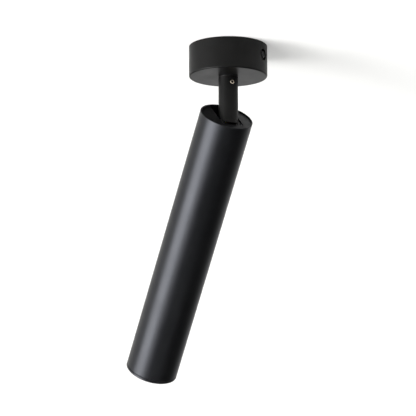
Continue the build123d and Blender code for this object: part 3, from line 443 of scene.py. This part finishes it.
# %% Frosted lens
FINISH["frosted_lens"], _ = surface(
    "lightly_frosted_polycarbonate", "#f2f4f4", "#e4e8e8", grain=0.4, patch=5, depth=0.001,
    rough=0.13, uneven=0.04, **{"IOR": 1.585, "Transmission Weight": 0.62})
print("lens made")

# %% [markdown]
# ## Lead insulation
# The three leads are copper strands in soft PVC, coloured in the mass: blue for neutral, brown
# for live. The earth lead is yellow with a green stripe that winds round it. PVC has a dull
# gloss with faint lengthwise draw lines. The stripe is laid as slanted bands 4 mm apart.

# %% Blue, brown and striped insulation
PVC = {"grain": 0.4, "patch": 4, "depth": 0.008, "rough": 0.42, "uneven": 0.06,
       "stretch": (1, 1, 0.2), "IOR": 1.53, "Specular IOR Level": 0.4}
STRIPE_PITCH = 4.0
STRIPE_EDGE = {"From Min": 0.42, "From Max": 0.48}

FINISH["blue_insulation"], _ = surface("blue_pvc", "#1d4f9c", "#173f80", **PVC)
FINISH["brown_insulation"], _ = surface("brown_pvc", "#5c3422", "#4a2819", **PVC)
FINISH["green_yellow_insulation"], striped = surface(
    "green_and_yellow_pvc", "#e0c51c", "#cdb214", **PVC)
tree = striped["tree"]
bands = add(tree, "ShaderNodeTexWave",
            {"Scale": 2 * math.pi / (DIAGONAL_BANDS * STRIPE_PITCH * MM)},
            {"Vector": striped["place"].outputs["Object"]},
            bands_direction="DIAGONAL", wave_profile="TRI")
edge = add(tree, "ShaderNodeMapRange", STRIPE_EDGE, {"Value": bands.outputs["Fac"]})
stripe = add(tree, "ShaderNodeMix", {"B": linear("#1f7a35")},
             {"Factor": edge.outputs["Result"], "A": striped["tint"].outputs["Result"]},
             data_type="RGBA")
tree.links.new(stripe.outputs["Result"], striped["shader"].inputs["Base Color"])
print("insulation made")

# %% [markdown]
# ## Dressing the measured parts
# Each measured part names the finish it was made with. The table above answers to those names,
# so one short loop dresses all of them. Two parts carry a cut thread, and get the finish that
# has its ridges.

# %% Give every part its finish
THREADED = {"swivel_spigot": spigot_zinc, "hinge_bolt": bolt_black}
for node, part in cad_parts.items():
    for position in part.material_slots:
        position.material = THREADED.get(node, FINISH[position.material.name])
print("dressed", len(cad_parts), "parts in", len(FINISH) + len(THREADED), "finishes")

# %% [markdown]
# ## Modelling by hand: the shared moves
# The pieces that follow are modelled with the same operators a person would use. Each one starts
# from a primitive at its true size, is shaped in edit mode, and then has its place written
# into its mesh, so that it rides on the measured body with nothing left over.

# %% Start, shape, settle
SELECT_MODE = {"faces": "FACE", "edges": "EDGE", "verts": "VERT"}
ONCE = (Matrix(),)
NEAR = 1e-6
LEVEL = 1e-7
FACING = 0.9


def begin(adder, **where):
    """Deselects everything and adds one primitive, which is then the active object."""
    bpy.ops.object.select_all(action="DESELECT")
    adder(**where)
    return bpy.context.object


def pick(piece, wanted, kind="faces"):
    """In edit mode, selects the faces, edges or vertices for which wanted() is true."""
    bpy.ops.mesh.select_all(action="DESELECT")
    bpy.ops.mesh.select_mode(type=SELECT_MODE[kind])
    mesh = bmesh.from_edit_mesh(piece.data)
    for item in getattr(mesh, kind):
        item.select_set(wanted(item))
    mesh.select_flush_mode()
    bmesh.update_edit_mesh(piece.data)


def apply_modifier(piece, kind, **settings):
    """Adds one modifier to the active piece and applies it."""
    modifier = piece.modifiers.new(kind.lower(), kind)
    for name, value in settings.items():
        setattr(modifier, name, value)
    bpy.ops.object.modifier_apply(modifier=modifier.name)


def settle(piece, name, body, material, place, copies=ONCE, smooth=40):
    """Puts a piece and its copies in place, joins them, and gives them to a body."""
    made = [piece]
    for _ in copies[1:]:
        twin = piece.copy()
        twin.data = piece.data.copy()
        bpy.context.scene.collection.objects.link(twin)
        made.append(twin)
    for twin, where in zip(made, copies):
        twin.matrix_world = place @ where @ twin.matrix_world
    bpy.ops.object.select_all(action="DESELECT")
    for twin in made:
        twin.select_set(True)
    bpy.context.view_layer.objects.active = piece
    if len(made) > 1:
        bpy.ops.object.join()
    bpy.ops.object.transform_apply(location=True, rotation=True, scale=True)
    bpy.ops.object.mode_set(mode="EDIT")
    bpy.ops.mesh.select_all(action="SELECT")
    bpy.ops.mesh.normals_make_consistent(inside=False)
    bpy.ops.object.mode_set(mode="OBJECT")
    bpy.ops.object.shade_smooth_by_angle(angle=math.radians(smooth))
    piece.name = piece.data.name = name
    piece.data.materials.clear()
    piece.data.materials.append(material)
    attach(piece, body)
    low, high = piece.bound_box[0], piece.bound_box[6]
    print(name, len(piece.data.polygons), "faces", [round(v / MM, 1) for v in low],
          [round(v / MM, 1) for v in high])
    return piece


# %% [markdown]
# ## Lens with lenslets
# The front of such a lamp is not a flat disc. It has a field of small domes, one for each share of
# the light, in a honeycomb. Here a thin disc gets a bevelled rim, and one dome is cut from a
# sphere by a bisect and copied over a hexagonal grid. The domes keep behind the lamp's rim.

# %% Lens disc and honeycomb
LENS_BACK = -280.95
LENS_R = 22.9
LENS_FRAME = 1.0
LENS_BEVEL = 0.2
PLATE_THICKNESS = 0.7
DOME_R = 2.35
DOME_HEIGHT = 0.5
DOME_PITCH = 4.8
DOME_RINGS = 4
DOME_SUNK = 0.02

plate = begin(bpy.ops.mesh.primitive_cylinder_add, vertices=96, radius=LENS_R * MM,
              depth=PLATE_THICKNESS * MM, location=(0, 0, (LENS_BACK - PLATE_THICKNESS / 2) * MM))
bpy.ops.object.mode_set(mode="EDIT")
pick(plate, lambda face: abs(face.normal.z) > FACING)
bpy.ops.mesh.inset(thickness=LENS_FRAME * MM)
pick(plate, lambda edge: all(abs(v.co.xy.length - LENS_R * MM) < NEAR for v in edge.verts)
     and abs(edge.verts[0].co.z - edge.verts[1].co.z) < LEVEL, "edges")
bpy.ops.mesh.bevel(offset=LENS_BEVEL * MM, segments=2)
bpy.ops.object.mode_set(mode="OBJECT")
settle(plate, "lamp_lens_plate", "head", FINISH["frosted_lens"], TO_HEAD)

sphere_r = (DOME_R ** 2 + DOME_HEIGHT ** 2) / (2 * DOME_HEIGHT)
dome_face = LENS_BACK - PLATE_THICKNESS
dome = begin(bpy.ops.mesh.primitive_uv_sphere_add, segments=14, ring_count=44, radius=sphere_r * MM,
             location=(0, 0, (dome_face + sphere_r - DOME_HEIGHT) * MM))
bpy.ops.object.transform_apply(location=True, rotation=True, scale=True)
bpy.ops.object.mode_set(mode="EDIT")
bpy.ops.mesh.select_all(action="SELECT")
bpy.ops.mesh.bisect(plane_co=(0, 0, (dome_face + DOME_SUNK) * MM), plane_no=(0, 0, 1),
                    use_fill=True, clear_outer=True)
bpy.ops.object.mode_set(mode="OBJECT")
spots = []
for row in range(-DOME_RINGS, DOME_RINGS + 1):
    for column in range(-DOME_RINGS, DOME_RINGS + 1):
        if abs(row + column) <= DOME_RINGS:
            spots.append((DOME_PITCH * (column + row / 2), DOME_PITCH * row * math.sqrt(3) / 2))
spots.sort(key=lambda spot: math.hypot(*spot))
lens = settle(dome, "lamp_lens_domes", "head", FINISH["frosted_lens"], TO_HEAD,
              [shift(x, y) for x, y in spots])
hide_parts("lamp_lens")
print(len(spots), "lenslets")

# %% [markdown]
# ## Light sources behind the lens
# Behind the lens sits a ring of small chips: a white carrier with a square of yellow phosphor
# sunk in it. They are what tints the lens when the lamp is off. One chip is a cube with its
# front inset and pushed in, and it is copied six times round a middle one.

# %% Chips
CHIP_SIDE = 3.4
CHIP_HEIGHT = 0.7
CHIP_RING = 11.0
CHIP_FLOOR = -279.45
CHIP_COUNT = 6
CHIP_CORNER = 0.4
CHIP_FRAME = 0.45
CHIP_SUNK = 0.15

phosphor, _ = surface("yellow_phosphor_silicone", "#d9b23a", "#c99d2a", grain=0.3, patch=1.5,
                      depth=0.01, rough=0.45, uneven=0.05, IOR=1.42)
chip = begin(bpy.ops.mesh.primitive_cube_add, size=1,
             location=(0, 0, (CHIP_FLOOR - CHIP_HEIGHT / 2) * MM),
             scale=(CHIP_SIDE * MM, CHIP_SIDE * MM, CHIP_HEIGHT * MM))
bpy.ops.object.transform_apply(location=True, rotation=True, scale=True)
bpy.ops.object.mode_set(mode="EDIT")
pick(chip, lambda edge: abs(edge.verts[0].co.z - edge.verts[1].co.z) > NEAR, "edges")
bpy.ops.mesh.bevel(offset=CHIP_CORNER * MM, segments=2)
pick(chip, lambda face: face.normal.z < -FACING)
bpy.ops.mesh.inset(thickness=CHIP_FRAME * MM)
bpy.ops.transform.translate(value=(0, 0, CHIP_SUNK * MM))
bpy.ops.object.mode_set(mode="OBJECT")
settle(chip, "light_chips", "head", phosphor, TO_HEAD,
       [shift()] + [turn(360 / CHIP_COUNT * k) @ shift(CHIP_RING) for k in range(CHIP_COUNT)])

# %% [markdown]
# ## Cooling ribs on the lamp
# The shell of such a lamp carries thin upright ribs that lead its heat away. They follow the
# shell's flank from the wide rim to the narrow neck. One rib is a strip, extruded edge by edge
# along the flank, given its thickness and a soft edge, and copied round.

# %% Ribs
FLANK = [(23.5, -276.9), (21.4, -268.6), (16.6, -257.9), (11.8, -248.6), (10.0, -243.9)]
RIB_DEPTH = 1.1
RIB_SUNK = 0.4
RIB_THICKNESS = 0.9
RIB_BEVEL = 0.2
RIB_COUNT = 20

first_r, first_z = FLANK[0]
next_r, next_z = FLANK[1]
rib = begin(bpy.ops.mesh.primitive_plane_add, size=1)
bpy.ops.object.mode_set(mode="EDIT")
mesh = bmesh.from_edit_mesh(rib.data)
for corner in mesh.verts:
    outer, far = corner.co.x > 0, corner.co.y > 0
    radius, height = (next_r, next_z) if far else (first_r, first_z)
    corner.co = Vector(((radius + (RIB_DEPTH if outer else -RIB_SUNK)) * MM, 0, height * MM))
bmesh.update_edit_mesh(rib.data)
for (from_r, from_z), (to_r, to_z) in zip(FLANK[1:], FLANK[2:]):
    pick(rib, lambda edge: all(abs(v.co.z - from_z * MM) < NEAR for v in edge.verts), "edges")
    bpy.ops.mesh.extrude_edges_move(
        TRANSFORM_OT_translate={"value": ((to_r - from_r) * MM, 0, (to_z - from_z) * MM)})
bpy.ops.object.mode_set(mode="OBJECT")
apply_modifier(rib, "SOLIDIFY", thickness=RIB_THICKNESS * MM, offset=0)
apply_modifier(rib, "BEVEL", width=RIB_BEVEL * MM, segments=2, limit_method="ANGLE")
settle(rib, "lamp_cooling_ribs", "head", FINISH["lamp_shell_plastic"],
       TO_HEAD, [turn(360 / RIB_COUNT * (k + 0.5)) for k in range(RIB_COUNT)])

# %% [markdown]
# ## Screw threads that stand proud
# Where a threaded end sticks out of its nut, its ridge is seen from the side. A thread is a
# triangle that climbs as it turns, which is exactly what the screw modifier does. Its two open
# ends are filled, so that the ridge is closed.

# %% Thread ridges
RIDGE_SHARE = 0.34
THREAD_STEPS = 32
SPIGOT_TOP_R = 5.0
SPIGOT_PITCH = 0.8
SPIGOT_THREAD_Z = -26.15
SIDE_SCREW_R = 2.0
SIDE_SCREW_PITCH = 0.7
SIDE_SCREW_DROP = 13
SIDE_THREAD_X = 32.2


def thread(name, body, radius, pitch, turns, place, slot, copies=ONCE):
    """A ridge that winds about Z with one pitch a turn, from a triangle standing on a radius."""
    ridge = begin(bpy.ops.mesh.primitive_circle_add, vertices=3, radius=RIDGE_SHARE * pitch * MM,
                  location=(radius * MM, 0, 0), rotation=(math.pi / 2, 0, 0))
    bpy.ops.object.transform_apply(location=True, rotation=True, scale=True)
    apply_modifier(ridge, "SCREW", axis="Z", screw_offset=pitch * MM, iterations=turns,
                   steps=THREAD_STEPS, render_steps=THREAD_STEPS)
    bpy.ops.object.mode_set(mode="EDIT")
    bpy.ops.mesh.select_all(action="SELECT")
    bpy.ops.mesh.remove_doubles(threshold=NEAR)
    bpy.ops.mesh.fill_holes(sides=4)
    bpy.ops.object.mode_set(mode="OBJECT")
    settle(ridge, name, body, FINISH[slot], place, copies, smooth=25)


side_threads = [turn(180 * k) @ shift(SIDE_THREAD_X, 0, -SIDE_SCREW_DROP) @ turn(90, "Y")
                for k in range(2)]
thread("spigot_thread", "canopy", SPIGOT_TOP_R, SPIGOT_PITCH, 1, shift(0, 0, SPIGOT_THREAD_Z),
       "zinc_plated_steel")
thread("canopy_screw_threads", "canopy", SIDE_SCREW_R, SIDE_SCREW_PITCH, 2, turn(STRAP_BEARING),
       "blackened_steel_screws", side_threads)

# %% [markdown]
# ## Nylon ring in the lock nut
# The hinge bolt must hold its tilt and never shake loose, so its nut has a nylon ring rolled into
# its outer end. The ring is a short cylinder whose two ends are inset, opened and bridged, which
# leaves a tube, and its edges are rounded.

# %% Nylon ring and wire sleeves
RING_SIDE = 17.45
RING_OUTER_R = 3.1
RING_INNER_R = 2.2
RING_LENGTH = 0.9
RING_ROUNDING = 0.18


def sleeve(name, body, outer, inner, length, round_off, material, place, copies=ONCE):
    """A short tube about Z with rounded ends: two radii, a length and the rounding, in mm."""
    tube = begin(bpy.ops.mesh.primitive_cylinder_add, vertices=40, radius=outer * MM,
                 depth=length * MM)
    bpy.ops.object.mode_set(mode="EDIT")
    pick(tube, lambda face: abs(face.normal.z) > FACING)
    bpy.ops.mesh.inset(thickness=(outer - inner) * MM)
    bpy.ops.mesh.delete(type="FACE")
    pick(tube, lambda edge: edge.is_boundary, "edges")
    bpy.ops.mesh.bridge_edge_loops()
    pick(tube, lambda edge: abs(edge.verts[0].co.z - edge.verts[1].co.z) < LEVEL
         and abs(edge.verts[0].co.xy.length - edge.verts[1].co.xy.length) < LEVEL, "edges")
    bpy.ops.mesh.bevel(offset=round_off * MM, segments=3)
    bpy.ops.object.mode_set(mode="OBJECT")
    settle(tube, name, body, material, place, copies)


nut_nylon, _ = surface("blue_nylon_lock_ring", "#27549a", "#1f4680", grain=0.3, patch=2,
                       depth=0.008, rough=0.4, uneven=0.05, IOR=1.53)
sleeve("lock_nut_nylon_ring", "head", RING_OUTER_R, RING_INNER_R, RING_LENGTH, RING_ROUNDING,
       nut_nylon, TO_HINGE @ shift(-RING_SIDE, -PIVOT_OFFSET, -PIVOT_DEPTH) @ turn(90, "Y"))

# %% [markdown]
# ## Sleeves on the wire ends
# Stranded wire is never clamped bare. Each end gets a crimped sleeve with a plastic collar that
# guides it into the terminal. The collars are the same short tube, one at each hole in use.

# %% Wire collars
BLOCK_FACE = 8.0
POLE_PITCH = 8.5
WIRE_Z = -7.5
COLLAR_OUTER_R = 1.6
COLLAR_INNER_R = 1.02
COLLAR_LENGTH = 3.0
COLLAR_ROUNDING = 0.15
COLLAR_STAND = 0.9

collar_plastic, _ = surface("white_crimp_collar_plastic", "#d8d8d4", "#c8c8c2", grain=0.3,
                            patch=3, depth=0.006, rough=0.4, uneven=0.05, IOR=1.5)
holes_in_use = [(k * POLE_PITCH, -BLOCK_FACE - COLLAR_STAND) for k in (-1, 0, 1)]
holes_in_use.append((-POLE_PITCH, BLOCK_FACE + COLLAR_STAND))
sleeve("wire_collars", "canopy", COLLAR_OUTER_R, COLLAR_INNER_R, COLLAR_LENGTH, COLLAR_ROUNDING,
       collar_plastic, turn(STRAP_BEARING),
       [shift(x, y, WIRE_Z) @ turn(90, "X") for x, y in holes_in_use])
